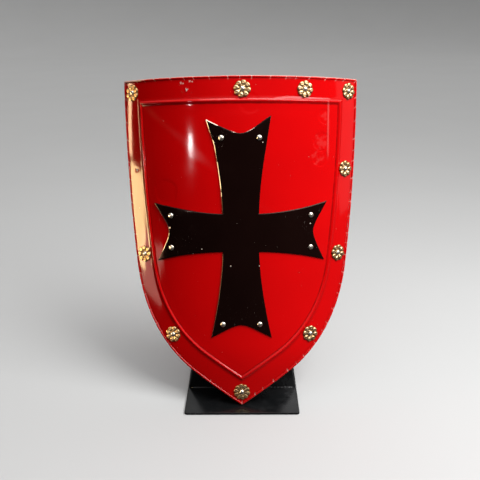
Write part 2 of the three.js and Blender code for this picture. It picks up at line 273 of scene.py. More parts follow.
@dataclass(frozen=True)
class RedEnamel:
    """Gloss red enamel over primer and steel, chipped where the edge was crimped.

    Attributes:
        deep: the enamel where it lies thick.
        bright: the enamel where it lies thin.
        crease_shade: painted shade along the feet of the bead and where the border meets the rolled edge.
        primer: the primer where a chip is shallow.
        steel: the steel where it is deep.
        painted_sheen: a pale pink painted on the dents right of the middle and along the long crease, as a
            painted highlight.
        painted_shade: a deeper red painted towards the point, as painted shade where less light reaches.
        gloss: the roughness of clean enamel.
        nicks: the chips by the lost rosette: across, up and radius, in millimetres.
        pits: the dents: across, up, radius and depth, in millimetres.
        sheen_past: how far across a dent has to be to get the painted highlight, in millimetres.
        crease_right: how far right of the middle the long crease runs.
        wiped_from: the upper end of the dulled band.
        wiped_to: its lower end.
        kept_bright: the spot in the band that kept its gloss.
    """

    deep: Colour = (0.66, 0.0, 0.0008, 1.0)
    bright: Colour = (0.82, 0.0004, 0.0012, 1.0)
    crease_shade: Colour = (0.16, 0.001, 0.0005, 1.0)
    primer: Colour = (0.85, 0.38, 0.32, 1.0)
    steel: Colour = (0.76, 0.48, 0.40, 1.0)
    painted_sheen: Colour = (0.85, 0.15, 0.14, 1.0)
    painted_shade: Colour = (0.30, 0.0, 0.0003, 1.0)
    gloss: float = 0.068

    nicks: tuple[tuple[float, ...], ...] = (
        (-126, 698, 2.8),
        (-121, 697, 2.0),
        (-106, 701, 2.6),
        (-100, 700, 1.8),
    )
    pits: tuple[tuple[float, ...], ...] = (
        (188, 628, 13, 0.4),
        (183, 574, 17, 0.5),
        (178, 540, 15, 0.4),
        (-166, 470, 22, 0.35),
        (-172, 395, 16, 0.25),
        (-108, 690, 12, 0.1),
        (20, 655, 18, 0.2),
    )
    sheen_past: float = 170.0
    crease_right: float = 189 * MM
    wiped_from: tuple[float, float] = (-226 * MM, 660 * MM)
    wiped_to: tuple[float, float] = (-64 * MM, 528 * MM)
    kept_bright: tuple[float, float] = (-112 * MM, 570 * MM)

    def dents(self, graph: Graph, bend: "Bend") -> Socket:
        """Press a few shallow dents and one long crease into the field.

        Args:
            graph: the finish's node graph.
            bend: the sheet's coordinates.

        Returns:
            How much painted highlight the enamel gets on the dents and along the crease.
        """
        painted_sheen = 0.0
        for across, up, radius, depth in self.pits:
            dent = graph.spot(bend.place(across * MM, up * MM, 0.0), 1.4 * radius * MM, 0.25)
            graph.bump(graph.rest(dent), 1.6 * depth * MM, 0.7)
            # Dents far enough to the right get a patchy painted highlight.
            if across > self.sheen_past:
                sheen_patch = graph.spot(bend.place((across - 4) * MM, up * MM, 0.0), 1.1 * radius * MM, 1.0)
                cloud = graph.spread(graph.noise(75.0, 3.0), 0.42, 0.62, (0.0, 0.12))
                painted_sheen = graph.either(painted_sheen, graph.times(sheen_patch, cloud))
        x = graph.add("ShaderNodeSeparateXYZ", {"Vector": graph.place}).outputs
        aside = graph.math("ABSOLUTE", graph.math("SUBTRACT", x["X"], self.crease_right))
        ridge = graph.spread(aside, 3.2 * MM, 0.2 * MM)
        ridge = graph.times(ridge, graph.spread(x["Z"], 515 * MM, 550 * MM))
        ridge = graph.times(ridge, graph.spread(x["Z"], 648 * MM, 636 * MM))
        graph.bump(ridge, 1.3 * MM, 0.8)
        # The long crease gets a painted highlight line as well.
        return graph.either(painted_sheen, graph.times(ridge, 0.4))

    def wipe(self, graph: Graph, bend: "Bend", back: Socket) -> Socket:
        """Mark the slanting band where the gloss is dulled by a wiping cloth.

        Args:
            graph: the finish's node graph.
            bend: the sheet's coordinates.
            back: 1 on the sheet's back.

        Returns:
            1 along the band's middle, falling to 0 at its sides.
        """
        start, stop = bend.place(*self.wiped_from, 0.0), bend.place(*self.wiped_to, 0.0)
        along = (stop - start).normalized()
        normal = (stop - start).cross(Vector((0.0, 1.0, 0.0))).normalized()
        inputs = {0: graph.place, 1: tuple(start)}
        reach = graph.add("ShaderNodeVectorMath", inputs, operation="SUBTRACT").outputs[0]
        aside, walked = (
            graph.add("ShaderNodeVectorMath", {0: reach, 1: tuple(way)}, operation="DOT_PRODUCT")
            for way in (normal, along)
        )
        aside, walked = aside.outputs["Value"], walked.outputs["Value"]
        band = graph.spread(graph.math("ABSOLUTE", aside), 16 * MM, 0.0)
        band = graph.times(band, graph.spread(walked, -10 * MM, 40 * MM))
        band = graph.times(band, graph.rest(back))
        away = graph.away_from(bend.place(*self.kept_bright, 0.0))
        return graph.times(band, graph.spread(away, 10 * MM, 44 * MM, (0.22, 1.0)))

    def material(self, bend: "Bend") -> Material:
        """Build the finish.

        Args:
            bend: the sheet's coordinates.

        Returns:
            The material.
        """
        graph = Graph("red enamel")
        edge, crease, nick, back = graph.marks("wear")
        coat = graph.mix(graph.noise(6.0, 2.0), self.deep, self.bright)
        # Painted shade in the creases by the bead and the rolled edge, made patchy by noise.
        shade_mottle = graph.spread(graph.noise(55.0, 5.0, 0.65), 0.25, 0.6, (0.3, 0.95))
        coat = graph.mix(graph.times(shade_mottle, crease), coat, self.crease_shade)
        height = graph.add("ShaderNodeSeparateXYZ", {"Vector": graph.place}).outputs["Z"]
        # Painted shade: the red darkens below 150 mm, towards the point.
        coat = graph.mix(graph.spread(height, 150 * MM, 50 * MM, (0.0, 0.48)), coat, self.painted_shade)
        # A painted highlight: pale pink on the right-hand dents and along the crease.
        coat = graph.mix(self.dents(graph, bend), coat, self.painted_sheen)
        graph.bump(graph.noise(420.0, 2.0), 0.00004, 0.3)
        specks = graph.noise(620.0, 4.0, 0.6)
        chipped = graph.spread(graph.plus(edge, specks, 0.75), 1.06, 1.13)
        chipped = graph.either(chipped, graph.spread(graph.noise(240.0, 2.0, 0.4), 0.79, 0.81))
        uneven = graph.spread(graph.noise(38.0, 2.0), 0.35, 0.6, (0.12, 0.62))
        chipped = graph.either(chipped, graph.times(nick, uneven))
        chipped = graph.spots(chipped, bend, 0.0, self.nicks)
        # The chip colour shows metal through the worn paint, and the painted highlight along the roll's
        # top and upper left.
        bare_and_highlight = graph.mix(graph.spread(specks, 0.45, 0.6), self.primer, self.steel)
        graph.give("Base Color", graph.mix(chipped, coat, bare_and_highlight))
        streaks = graph.noise(1.0, 3.0, 0.6, graph.stretched((420.0, 60.0, 24.0), 0.5))
        rough = graph.times(graph.spread(graph.noise(9.0, 4.0, 0.6), 0.45, 0.8), 0.05)
        rough = graph.math("ADD", rough, self.gloss)
        for dulled, share in (
            (graph.spread(streaks, 0.6, 0.8), 0.03),
            (self.wipe(graph, bend, back), 0.15),
            (back, 0.22),
            (chipped, 0.3),
        ):
            rough = graph.plus(rough, dulled, share)
        graph.give("Roughness", rough)
        graph.give("Specular IOR Level", 0.30)
        graph.bump(graph.rest(chipped), 0.00015, 0.8)
        return graph.material


@dataclass(frozen=True)
class BlackEnamel:
    """Gloss black enamel, worn through to pale metal along its edges, with a painted highlight: the metal
    is near white and runs wider on the left-facing edges.
    """

    base: Colour = (0.0036, 0.0006, 0.0004, 1.0)
    warm: Colour = (0.0085, 0.0022, 0.0018, 1.0)
    bare_and_highlight: Colour = (0.95, 0.84, 0.70, 1.0)
    sheen: Colour = (1.0, 0.62, 0.52, 1.0)
    gloss: float = 0.09

    nicks: tuple[tuple[float, ...], ...] = (
        (-84, 348, 1.3),
        (-104, 337, 1.1),
        (-22, 312, 1.5),
        (39, 312, 1.3),
        (-158, 392, 2.2),
        (153, 400, 1.7),
        (47, 574, 1.5),
        (-54, 574, 0.9),
    )

    def material(self, bend: "Bend") -> Material:
        """Build the finish.

        Args:
            bend: the sheet's coordinates.

        Returns:
            The material.
        """
        graph = Graph("black enamel")
        edge, scuffs, _, _ = graph.marks("wear")
        coat = graph.mix(graph.noise(11.0, 4.0), self.base, self.warm)
        patches = graph.noise(26.0, 3.0, 0.6)
        worn = graph.times(edge, graph.spread(patches, 0.34, 0.56, (0.6, 1.0)))
        chipped = graph.spread(graph.plus(worn, graph.noise(480.0, 4.0, 0.65), 0.7), 1.08, 1.16)
        scratch = graph.noise(1.0, 2.0, 0.5, graph.stretched((900.0, 90.0, 160.0), 0.9))
        scratch = graph.times(graph.spread(scratch, 0.70, 0.76), scuffs)
        nick = graph.plus(graph.noise(330.0, 2.0, 0.4), scuffs, 0.02)
        chipped = graph.either(chipped, graph.spread(nick, 0.79, 0.81))
        chipped = graph.either(chipped, graph.times(scratch, 0.3))
        chipped = graph.spots(chipped, bend, 3 * MM, self.nicks)
        # The worn edges are wear and a painted highlight: near-white metal, heaviest on the left-facing
        # edges.
        graph.give("Base Color", graph.mix(chipped, coat, self.bare_and_highlight))
        smears = graph.spread(graph.noise(14.0, 5.0, 0.6), 0.38, 0.72)
        rough = graph.math("ADD", graph.times(smears, 0.12), self.gloss)
        graph.give("Roughness", graph.plus(rough, chipped, 0.28))
        graph.give("Metallic", graph.times(chipped, 0.6))
        graph.give("Specular IOR Level", 0.30)
        graph.give("Specular Tint", self.sheen)
        graph.bump(graph.noise(380.0, 2.0), 0.00005, 0.4)
        graph.bump(graph.rest(chipped), 0.00012, 0.7)
        return graph.material


@dataclass(frozen=True)
class Brass:
    """Pressed brass, bright on the crowns, with tarnish and painted shade browning the hollows and the
    gaps between the petals.
    """

    bright: Colour = (0.84, 0.59, 0.33, 1.0)
    aged: Colour = (0.68, 0.42, 0.20, 1.0)
    tarnish: Colour = (0.19, 0.082, 0.018, 1.0)
    dullness: float = 0.0

    def material(self, name: str) -> Material:
        """Build the finish.

        Args:
            name: the material's name.

        Returns:
            The material.
        """
        graph = Graph(name)
        hollow, _, _, _ = graph.marks("wear")
        metal = graph.mix(graph.spread(graph.noise(90.0, 4.0), 0.35, 0.7), self.bright, self.aged)
        # Tarnish in the hollows, together with painted shade off the petals' crowns.
        darkening = graph.times(hollow, graph.spread(graph.noise(260.0, 4.0), 0.2, 0.5, (0.55, 1.0)))
        darkening = graph.math("ADD", darkening, self.dullness)
        graph.give("Base Color", graph.mix(darkening, metal, self.tarnish))
        rough = graph.spread(graph.noise(180.0, 4.0), 0.3, 0.75, (0.27, 0.38))
        graph.give("Roughness", graph.plus(rough, darkening, 0.3))
        graph.give("Metallic", 1.0)
        graph.bump(graph.noise(700.0, 3.0), 0.00006, 0.5)
        return graph.material


@dataclass(frozen=True)
class RivetSteel:
    """Bright domed steel with fine handling scratches, and painted shade at the foot of the head."""

    bright: Colour = (0.84, 0.76, 0.65, 1.0)
    dull: Colour = (0.42, 0.37, 0.29, 1.0)

    def material(self) -> Material:
        """Build the finish.

        Returns:
            The material.
        """
        graph = Graph("rivet steel")
        hollow, _, _, _ = graph.marks("wear")
        spots = graph.times(graph.spread(graph.noise(420.0, 4.0), 0.5, 0.75), 0.6)
        # Painted shade at the foot of the head, as well as dull spots.
        spots = graph.either(spots, hollow)
        graph.give("Base Color", graph.mix(spots, self.bright, self.dull))
        lines = graph.noise(1.0, 2.0, 0.5, graph.stretched((1500.0, 200.0, 300.0), 0.4))
        rough = graph.spread(lines, 0.35, 0.75, (0.22, 0.34))
        graph.give("Roughness", graph.plus(rough, spots, 0.2))
        graph.give("Metallic", 1.0)
        graph.bump(graph.noise(900.0, 3.0), 0.00004, 0.4)
        return graph.material


@dataclass(frozen=True)
class StandPaint:
    """Smooth black paint on plate steel, a little dusty."""

    base: Colour = (0.006, 0.0065, 0.007, 1.0)
    dust: Colour = (0.030, 0.030, 0.031, 1.0)

    def material(self) -> Material:
        """Build the finish.

        Returns:
            The material.
        """
        graph = Graph("stand paint")
        dust = graph.spread(graph.noise(12.0, 5.0, 0.65), 0.45, 0.8)
        graph.give("Base Color", graph.mix(dust, self.base, self.dust))
        graph.give("Roughness", graph.spread(dust, 0.0, 1.0, (0.2, 0.36)))
        graph.give("Specular IOR Level", 0.35)
        graph.bump(graph.noise(520.0, 3.0), 0.00006, 0.5)
        return graph.material


# ---- where things are on the sheet ----


@dataclass(frozen=True)
class Bend:
    """The bent and leaning sheet's own coordinates.

    A place is given unrolled: across is measured round the curve from the middle, up from
    the point along the sheet, and lift outwards from the sheet's face.
    """

    point: Vector
    radius: float = 387 * MM
    lean: float = math.radians(12)

    def place(self, across: float, up: float, lift: float) -> Vector:
        """Find the place in the room of a place on the sheet.

        Args:
            across: round the curve from the middle.
            up: along the sheet from its point.
            lift: outwards from its face.

        Returns:
            The place in the room.
        """
        turn = across / self.radius
        reach = self.radius + lift
        back = self.radius - reach * math.cos(turn)
        cos, sin = math.cos(self.lean), math.sin(self.lean)
        spot = Vector((reach * math.sin(turn), back * cos + up * sin, up * cos - back * sin))
        return self.point + spot

    def unroll(self, spot: Vector) -> Vector:
        """Find the place on the sheet of a place in the room.

        Args:
            spot: the place in the room.

        Returns:
            The place, as (across, up, lift).
        """
        x, y, z = spot - self.point
        cos, sin = math.cos(self.lean), math.sin(self.lean)
        back, up = y * cos - z * sin, y * sin + z * cos
        turn = math.atan2(x, self.radius - back)
        reach = math.hypot(x, self.radius - back)
        return Vector((turn * self.radius, up, reach - self.radius))

    def square_on(self, across: float, up: float, lift: float = 0.0) -> Matrix:
        """Find the frame standing square on the sheet at a place, with Z outwards.

        Args:
            across: round the curve from the middle.
            up: along the sheet from its point.
            lift: outwards from its face.

        Returns:
            The frame's matrix.
        """
        turn = Matrix.Rotation(across / self.radius, 4, "Z")
        lean = Matrix.Rotation(-self.lean, 4, "X")
        upright = Matrix.Rotation(math.radians(90), 4, "X")
        return Matrix.Translation(self.place(across, up, lift)) @ lean @ turn @ upright


@dataclass(frozen=True)
class LoopStep:
    """One step of the walk round the sheet's outline.

    Attributes:
        stretch: which edge it is on: 0 the top, 1 the right side, 2 the left side.
        share: how far along that edge.
        from_nick: distance from the nearest crimp, with a sign.
        walked: distance along the whole walk, for noise.
    """

    stretch: int
    share: float
    from_nick: float
    walked: float


@dataclass(frozen=True)
class Outline:
    """The sheet's outline when unrolled, and every even inset of it.

    Attributes:
        height: from the point to the top edge.
        half_girth: half its width, round the curve.
        side_radius: the radius of the side's long arc.
        shoulder_up: how high up the long arc meets the shoulder's.
        shoulder_radius: the radius of the shoulder's arc.
        top_crimps: crimps along the top edge.
        side_crimps: crimps along each side.
        crimp_steps: steps of the walk from one crimp to the next.
        gathered: how closely the steps crowd at a crimp, from 0 to 1.
        uneven: how far a crimp strays from its even place, as a share of the spacing.
        stray_waves: how often the straying comes round, as a share of the crimps.
    """

    height: float = 711 * MM
    half_girth: float = 281 * MM
    side_radius: float = 2900 * MM
    shoulder_up: float = 306 * MM
    shoulder_radius: float = 338 * MM
    top_crimps: int = 18
    side_crimps: int = 27
    crimp_steps: int = 12
    gathered: float = 0.86
    uneven: float = 0.2
    stray_waves: float = 0.3

    @property
    def side_turn(self) -> float:
        """How far the side's long arc turns."""
        return math.asin((self.height - self.shoulder_up) / self.side_radius)

    @property
    def shoulder_centre(self) -> Vector:
        """Find the middle of the shoulder's arc.

        Returns:
            Its place, as (across, up).
        """
        reach = self.side_radius - self.shoulder_radius
        across = self.half_girth - self.side_radius + reach * math.cos(self.side_turn)
        return Vector((across, self.height - reach * math.sin(self.side_turn)))

    @property
    def point_turn(self) -> float:
        """The turn at which the shoulder's arc runs straight to the point."""
        centre = self.shoulder_centre
        return math.atan2(centre.x, centre.y) + math.asin(self.shoulder_radius / centre.length)

    def side_lengths(self) -> tuple[float, float, float]:
        """Measure the parts of the side.

        Returns:
            The lengths of its long arc, shoulder arc and straight run.
        """
        centre = self.shoulder_centre
        run = math.sqrt(centre.length_squared - self.shoulder_radius**2)
        shoulder = self.shoulder_radius * (self.point_turn - self.side_turn)
        return self.side_radius * self.side_turn, shoulder, run

    def side(self, share: float, inset: float) -> Vector:
        """A point of the right-hand side.

        Args:
            share: how far down the side, from 0 at the top corner to 1 at the point.
            inset: distance inwards from the edge.

        Returns:
            The point, as (across, up).
        """
        long, shoulder, run = self.side_lengths()
        walked = share * (long + shoulder + run)
        if walked < long:
            radius = self.side_radius - inset
            start = math.asin(inset / radius)
            turn = start + (self.side_turn - start) * walked / long
            centre = Vector((self.half_girth - self.side_radius, self.height))
            return centre + radius * Vector((math.cos(turn), -math.sin(turn)))
        radius = self.shoulder_radius - inset
        part = min(1.0, (walked - long) / shoulder)
        turn = self.side_turn + (self.point_turn - self.side_turn) * part
        spot = self.shoulder_centre + radius * Vector((math.cos(turn), -math.sin(turn)))
        if part < 1.0:
            return spot
        tip = Vector((0.0, inset / math.sin(self.point_turn)))
        return spot.lerp(tip, (walked - long - shoulder) / run)

    def at(self, step: LoopStep, inset: float) -> Vector:
        """Find the outline's point for one step of the walk.

        Args:
            step: the step.
            inset: distance inwards from the edge.

        Returns:
            The point, as (across, up).
        """
        if step.stretch == 0:
            corner = self.side(0.0, inset)
            return Vector((corner.x * (2.0 * step.share - 1.0), corner.y))
        if step.stretch == 1:
            return self.side(step.share, inset)
        spot = self.side(1.0 - step.share, inset)
        return Vector((-spot.x, spot.y))

    def walk(self) -> list[LoopStep]:
        """Walk round the outline, with the steps drawn together at each crimp.

        Returns:
            The steps, in order.
        """
        steps = []
        walked = 0.0
        lengths = (2.0 * self.half_girth, sum(self.side_lengths()), sum(self.side_lengths()))
        crimps = (self.top_crimps, self.side_crimps, self.side_crimps)
        for stretch, (length, count) in enumerate(zip(lengths, crimps)):
            pitch = length / count
            waves = round(self.stray_waves * count)
            for index in range(count * self.crimp_steps):
                part = index / self.crimp_steps
                part -= self.gathered * math.sin(2.0 * math.pi * part) / (2.0 * math.pi)
                nearest = (part + 0.5) % 1.0 - 0.5
                share = part / count
                share += self.uneven / count * math.sin(2.0 * math.pi * waves * share)
                steps.append(LoopStep(stretch, share, nearest * pitch, walked + part * pitch))
            walked += length
        return steps


# ---- meshes ----


def smoothstep(value: float, low: float, high: float) -> float:
    """Rise smoothly from 0 to 1.

    Args:
        value: where it is read.
        low: where it leaves 0.
        high: where it reaches 1.

    Returns:
        The height of the rise.
    """
    share = min(1.0, max(0.0, (value - low) / (high - low)))
    return share * share * (3.0 - 2.0 * share)


def wear_and_light_layer(bm: Shape) -> bmesh.types.BMLayerItem:
    """The vertex layer that tells the finish where a piece is worn, and where painted shade and painted
    highlights go.
    """
    return bm.verts.layers.float_color.get("wear") or bm.verts.layers.float_color.new("wear")


def finish_piece(
    bm: Shape,
    name: str,
    material: Material,
    nodes: tuple[str, ...] = (),
    crease: float = 50.0,
) -> Piece:
    """Turn a bmesh into a finished piece that rides on the body.

    Args:
        bm: the shape, in the room's own coordinates.
        name: the piece's name.
        material: its finish.
        nodes: the CAD nodes that it stands for.
        crease: the angle, in degrees, past which an edge is sharp.

    Returns:
        The piece.
    """
    wear_and_light_layer(bm)
    bmesh.ops.remove_doubles(bm, verts=bm.verts, dist=0.01 * MM)
    bmesh.ops.recalc_face_normals(bm, faces=bm.faces)
    mesh = bpy.data.meshes.new(name)
    bm.to_mesh(mesh)
    bm.free()
    mesh.shade_smooth()
    mesh.set_sharp_from_angle(angle=math.radians(crease))
    mesh.materials.append(material)
    piece = bpy.data.objects.new(name, mesh)
    bpy.context.scene.collection.objects.link(piece)
    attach(piece, BODY)
    if nodes:
        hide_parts(*nodes)
    log.info("%s: %d faces", name, len(mesh.polygons))
    return piece


def cut_out(piece: Piece, cutter: Piece) -> None:
    """Cut one object out of another, and throw the cutter away.

    Args:
        piece: what is cut.
        cutter: what is cut out of it.
    """
    cut = piece.modifiers.new("hole", "BOOLEAN")
    cut.operation = "DIFFERENCE"
    cut.solver = "EXACT"
    cut.object = cutter
    graph = bpy.context.evaluated_depsgraph_get()
    result = bpy.data.meshes.new_from_object(piece.evaluated_get(graph))
    piece.modifiers.remove(cut)
    uncut = piece.data
    piece.data = result
    bpy.data.meshes.remove(uncut)
    bpy.data.objects.remove(cutter)


@dataclass(frozen=True)
class Ring:
    """One ring of the sheet, between its middle and its edge.

    Attributes:
        inset: distance from the outline.
        share: how much of the way from the middle to that inset.
        lift: height over the face, before waves.
        roll: angle round the rolled edge, or None off it.
        crease: how much painted shade darkens it, at the bead's feet and in the rolled edge's crease.
        back: whether it is on the back.
    """

    inset: float
    share: float = 1.0
    lift: float = 0.0
    roll: float | None = None
    crease: float = 0.0
    back: bool = False


@dataclass
class ShieldSheet:
    """The bent red sheet with its rolled edge, bead and two open rivet holes.

    Attributes:
        bend: the sheet's coordinates.
        outline: its outline when unrolled.
        thickness: the steel's thickness.
        roll_radius: the radius of the rolled edge.
        band: how far in from the edge the bead runs.
        bead_width: the bead's width.
        bead_height: how far it stands up.
        valley: the width of the shallow hollow inside the bead.
        valley_depth: how deep the hollow is.
        middle_up: how high up the rings draw together.
        crimp_reach: how wide the nick of a crimp is.
        crimp_depth: how deep it is, as a share of the rolled edge's radius.
        open_hole: the radius of a hole that lost its rivet.
        lip: the torn lip's distance from such a hole's middle, and its width.
        bared: the same for the bare metal round it.
        lost_top: where the rosette was lost in the top row, as (across, up).
        lost_side: where it was lost on the left side.
    """

    bend: Bend
    outline: Outline = field(default_factory=Outline)
    thickness: float = 1.2 * MM
    roll_radius: float = 2.7 * MM
    band: float = 51 * MM
    bead_width: float = 9.5 * MM
    bead_height: float = 2.6 * MM
    valley: float = 27 * MM
    valley_depth: float = 0.12 * MM
    middle_up: float = 383 * MM
    crimp_reach: float = 1.1 * MM
    crimp_depth: float = 0.30
    open_hole: float = 1.8 * MM
    lip: tuple[float, float] = (3.3 * MM, 1.5 * MM)
    bared: tuple[float, float] = (3.0 * MM, 1.6 * MM)
    lost_top: tuple[float, float] = (-113 * MM, 684 * MM)
    lost_side: tuple[float, float] = (-247.2 * MM, 516 * MM)

    def pressed(self, back: bool) -> list[Ring]:
        """The rings from the middle out to the border, at the face or the back.

        Args:
            back: whether they are on the back.

        Returns:
            The rings, from the middle outwards.
        """
        level = -self.thickness if back else 0.0
        foot = self.band + self.bead_width / 2
        rim = foot + self.valley
        count = 6 if back else 13
        rings = [Ring(rim, index / count, level, back=back) for index in range(count)]
        steps = 2 if back else 8
        for index in range(steps):
            part = index / steps
            dip = self.valley_depth * math.sin(math.pi * part) ** 2
            rings.append(Ring(rim - self.valley * part, 1.0, level - dip, back=back))
        steps = 8 if back else 13
        for index in range(steps + 1):
            part = index / steps
            rise = self.bead_height * math.sin(math.pi * part) ** 1.35
            # Painted shade at the bead's feet: strong at the inner foot, faint at the outer.
            darkening = smoothstep(abs(part - 0.5), 0.34, 0.5) * (0.85 if part < 0.5 else 0.3)
            inset = foot - self.bead_width * part
            rings.append(Ring(inset, 1.0, level + rise, crease=darkening, back=back))
        return rings

    def border(self, back: bool) -> list[Ring]:
        """List the flat rings between the bead and the rolled edge.

        Args:
            back: whether they are on the back.

        Returns:
            The rings, outwards.
        """
        level = -self.thickness if back else 0.0
        start = self.band - self.bead_width / 2
        stop = 2.0 * self.roll_radius
        steps = 4 if back else 11
        rings = []
        for index in range(1, steps):
            part = math.sin(0.5 * math.pi * index / steps)
            # Painted shade where the border meets the rolled edge.
            darkening = 0.3 * smoothstep(part, 0.86, 1.0)
            rings.append(Ring(start + (stop - start) * part, 1.0, level, crease=darkening, back=back))
        return rings

    def rolled(self) -> list[Ring]:
        """List the rings round the rolled edge.

        Returns:
            The rings, from the face to the back.
        """
        start = math.asin(self.thickness / 2 / self.roll_radius)
        steps = 16
        rings = []
        for index in range(steps + 1):
            turn = start + (2.0 * math.pi - 2.0 * start) * index / steps
            # Painted shade in the crease where the roll starts.
            darkening = 0.3 - 0.3 * smoothstep(index, 1.0, 3.0)
            rings.append(Ring(0.0, 1.0, 0.0, turn, crease=darkening, back=index > 12))
        return rings

    def rings(self) -> list[Ring]:
        """List every ring.

        Returns:
            The rings, from the middle of the face over the edge to the middle of the back.
        """
        face = self.pressed(False) + self.border(False)
        rear = self.pressed(True) + self.border(True)
        return face + self.rolled() + rear[::-1]

    def spot(self, ring: Ring, step: LoopStep) -> tuple[Vector, float, float]:
        """A point of the sheet before it is bent.

        Args:
            ring: its ring.
            step: its step round the outline.

        Returns:
            The point as (across, up, lift), how worn it is, and how near a crimp's line.
        """
        line = smoothstep(-abs(step.from_nick), -0.9 * MM, -0.25 * MM)
        if ring.roll is None:
            flat = self.outline.at(step, ring.inset)
            flat = Vector((0.0, self.middle_up)).lerp(flat, ring.share)
            line *= smoothstep(-ring.inset, -8.5 * MM, -6 * MM) * (not ring.back)
            return Vector((flat.x, flat.y, ring.lift)), 0.0, line
        nick = math.exp(-((step.from_nick / self.crimp_reach) ** 2))
        lap = smoothstep(step.from_nick, 0.0, 9 * MM) * smoothstep(-step.from_nick, -16 * MM, 0.0)
        uneven = noise.noise(Vector((step.walked * 45.0, 0.0, 5.0)))
        radius = self.roll_radius * (1.0 - self.crimp_depth * nick - 0.07 * lap + 0.05 * uneven - 0.05)
        inset = self.roll_radius + radius * math.cos(ring.roll)
        flat = self.outline.at(step, max(0.0, inset))
        proud = math.sin(0.5 * ring.roll) ** 2
        scrape = 0.5 + 0.5 * noise.noise(Vector((step.walked * 18.0, 3.0, 1.0)))
        # Paint worn off the crown of the roll, and a painted highlight: it is heavier along the top edge
        # and down the upper left side, where light runs along the roll. The top-left corner is worn more
        # too.
        worn = (1.25 if step.stretch == 0 else 0.98) * proud**1.6 * (0.7 + 0.3 * scrape)
        worn += 0.25 * nick * smoothstep(proud, 0.05, 0.4)
        corner = smoothstep(-flat.x, 205 * MM, 250 * MM) * smoothstep(flat.y, 690 * MM, 704 * MM)
        left = smoothstep(-flat.x, 245 * MM, 265 * MM)
        worn += smoothstep(proud, 0.1, 0.6) * (1.0 * corner + 0.5 * left) * (0.75 + 0.25 * scrape)
        line *= 1.0 - smoothstep(ring.roll, 2.6, 3.6)
        lift = radius * math.sin(ring.roll) - self.thickness / 2
        return Vector((flat.x, flat.y, lift)), min(1.0, worn), line

    def wave(self, across: float, up: float) -> float:
        """Find how far the pressed sheet stands off its true curve.

        Args:
            across: the point's place round the curve.
            up: its place along the sheet.

        Returns:
            The extra lift.
        """
        broad = noise.noise(Vector((across * 7.0, up * 5.0, 3.1)))
        fine = noise.noise(Vector((across * 24.0, up * 19.0, 8.7)))
        border = smoothstep(abs(across), 215 * MM, 240 * MM)
        small = noise.noise(Vector((across * 62.0, up * 38.0, 4.3)))
        return (0.32 * broad + (0.10 + 0.13 * border) * fine + 0.035 * border * small) * MM

    def torn(self, across: float, up: float) -> tuple[float, float]:
        """The raised lip and the bare metal round the open rivet holes.

        Args:
            across: the point's place round the curve.
            up: its place along the sheet.

        Returns:
            The extra lift, and how worn the point is.
        """
        lift, worn = 0.0, 0.0
        lip, lip_width = self.lip
        bared, bared_width = self.bared
        for (x, y), rise in ((self.lost_top, 0.9 * MM), (self.lost_side, -0.5 * MM)):
            reach = math.hypot(across - x, up - y)
            if reach < 14 * MM:
                turn = math.atan2(up - y, across - x)
                ragged = 0.65 + 0.35 * math.sin(3.0 * turn + 0.8)
                ring = math.exp(-(((reach - lip) / lip_width) ** 2))
                lift += rise * ragged * ring
                worn = max(worn, ragged * math.exp(-(((reach - bared) / bared_width) ** 2)))
        return lift, worn

    def build(self, material: Material) -> Piece:
        """Make the sheet.

        Args:
            material: its finish.

        Returns:
            The piece.
        """
        rings, steps = self.rings(), self.outline.walk()
        bm = bmesh.new()
        wear = wear_and_light_layer(bm)
        columns, rows = len(steps), len(rings) - 1
        bmesh.ops.create_grid(bm, x_segments=columns, y_segments=rows, size=0.5)
        for vert in bm.verts:
            ring = rings[round((vert.co.y + 0.5) * rows)]
            step = steps[round((vert.co.x + 0.5) * columns) % columns]
            vert.co, worn, line = self.spot(ring, step)
            vert[wear] = (worn, ring.crease, line, float(ring.back))
        bmesh.ops.remove_doubles(bm, verts=bm.verts, dist=0.005 * MM)
        for place in (self.lost_top, self.lost_side):
            centre = Vector(place)
            near = [f for f in bm.faces if (f.calc_center_median().xy - centre).length < 13 * MM]
            edges = list({edge for face in near for edge in face.edges})
            bmesh.ops.subdivide_edges(bm, edges=edges, cuts=4, use_grid_fill=True)
        for vert in bm.verts:
            across, up, lift = vert.co
            torn, worn = self.torn(across, up)
            marks = vert[wear]
            vert[wear] = (max(marks[0], worn), marks[1], marks[2], marks[3])
            vert.co = self.bend.place(across, up, lift + self.wave(across, up) + torn)
        nodes = ("shield_sheet",)
        piece = finish_piece(bm, "bent_sheet", material, nodes, 38.0)
        for place in (self.lost_top, self.lost_side):
            cut_out(piece, self.punch(place))
        return piece

    def punch(self, place: tuple[float, float]) -> Piece:
        """Make a slightly uneven round punch that opens a rivet hole.

        Args:
            place: where it goes, as (across, up).

        Returns:
            The punch.
        """
        bm = bmesh.new()
        wear_and_light_layer(bm)
        bmesh.ops.create_cone(
            bm,
            cap_ends=True,
            segments=28,
            radius1=self.open_hole,
            radius2=self.open_hole * 1.06,
            depth=16 * MM,
        )
        bmesh.ops.scale(bm, verts=bm.verts, vec=(1.0, 0.9, 1.0))
        bmesh.ops.transform(bm, verts=bm.verts, matrix=self.bend.square_on(*place))
        mesh = bpy.data.meshes.new("punch")
        bm.to_mesh(mesh)
        bm.free()
        punch = bpy.data.objects.new("punch", mesh)
        bpy.context.scene.collection.objects.link(punch)
        return punch


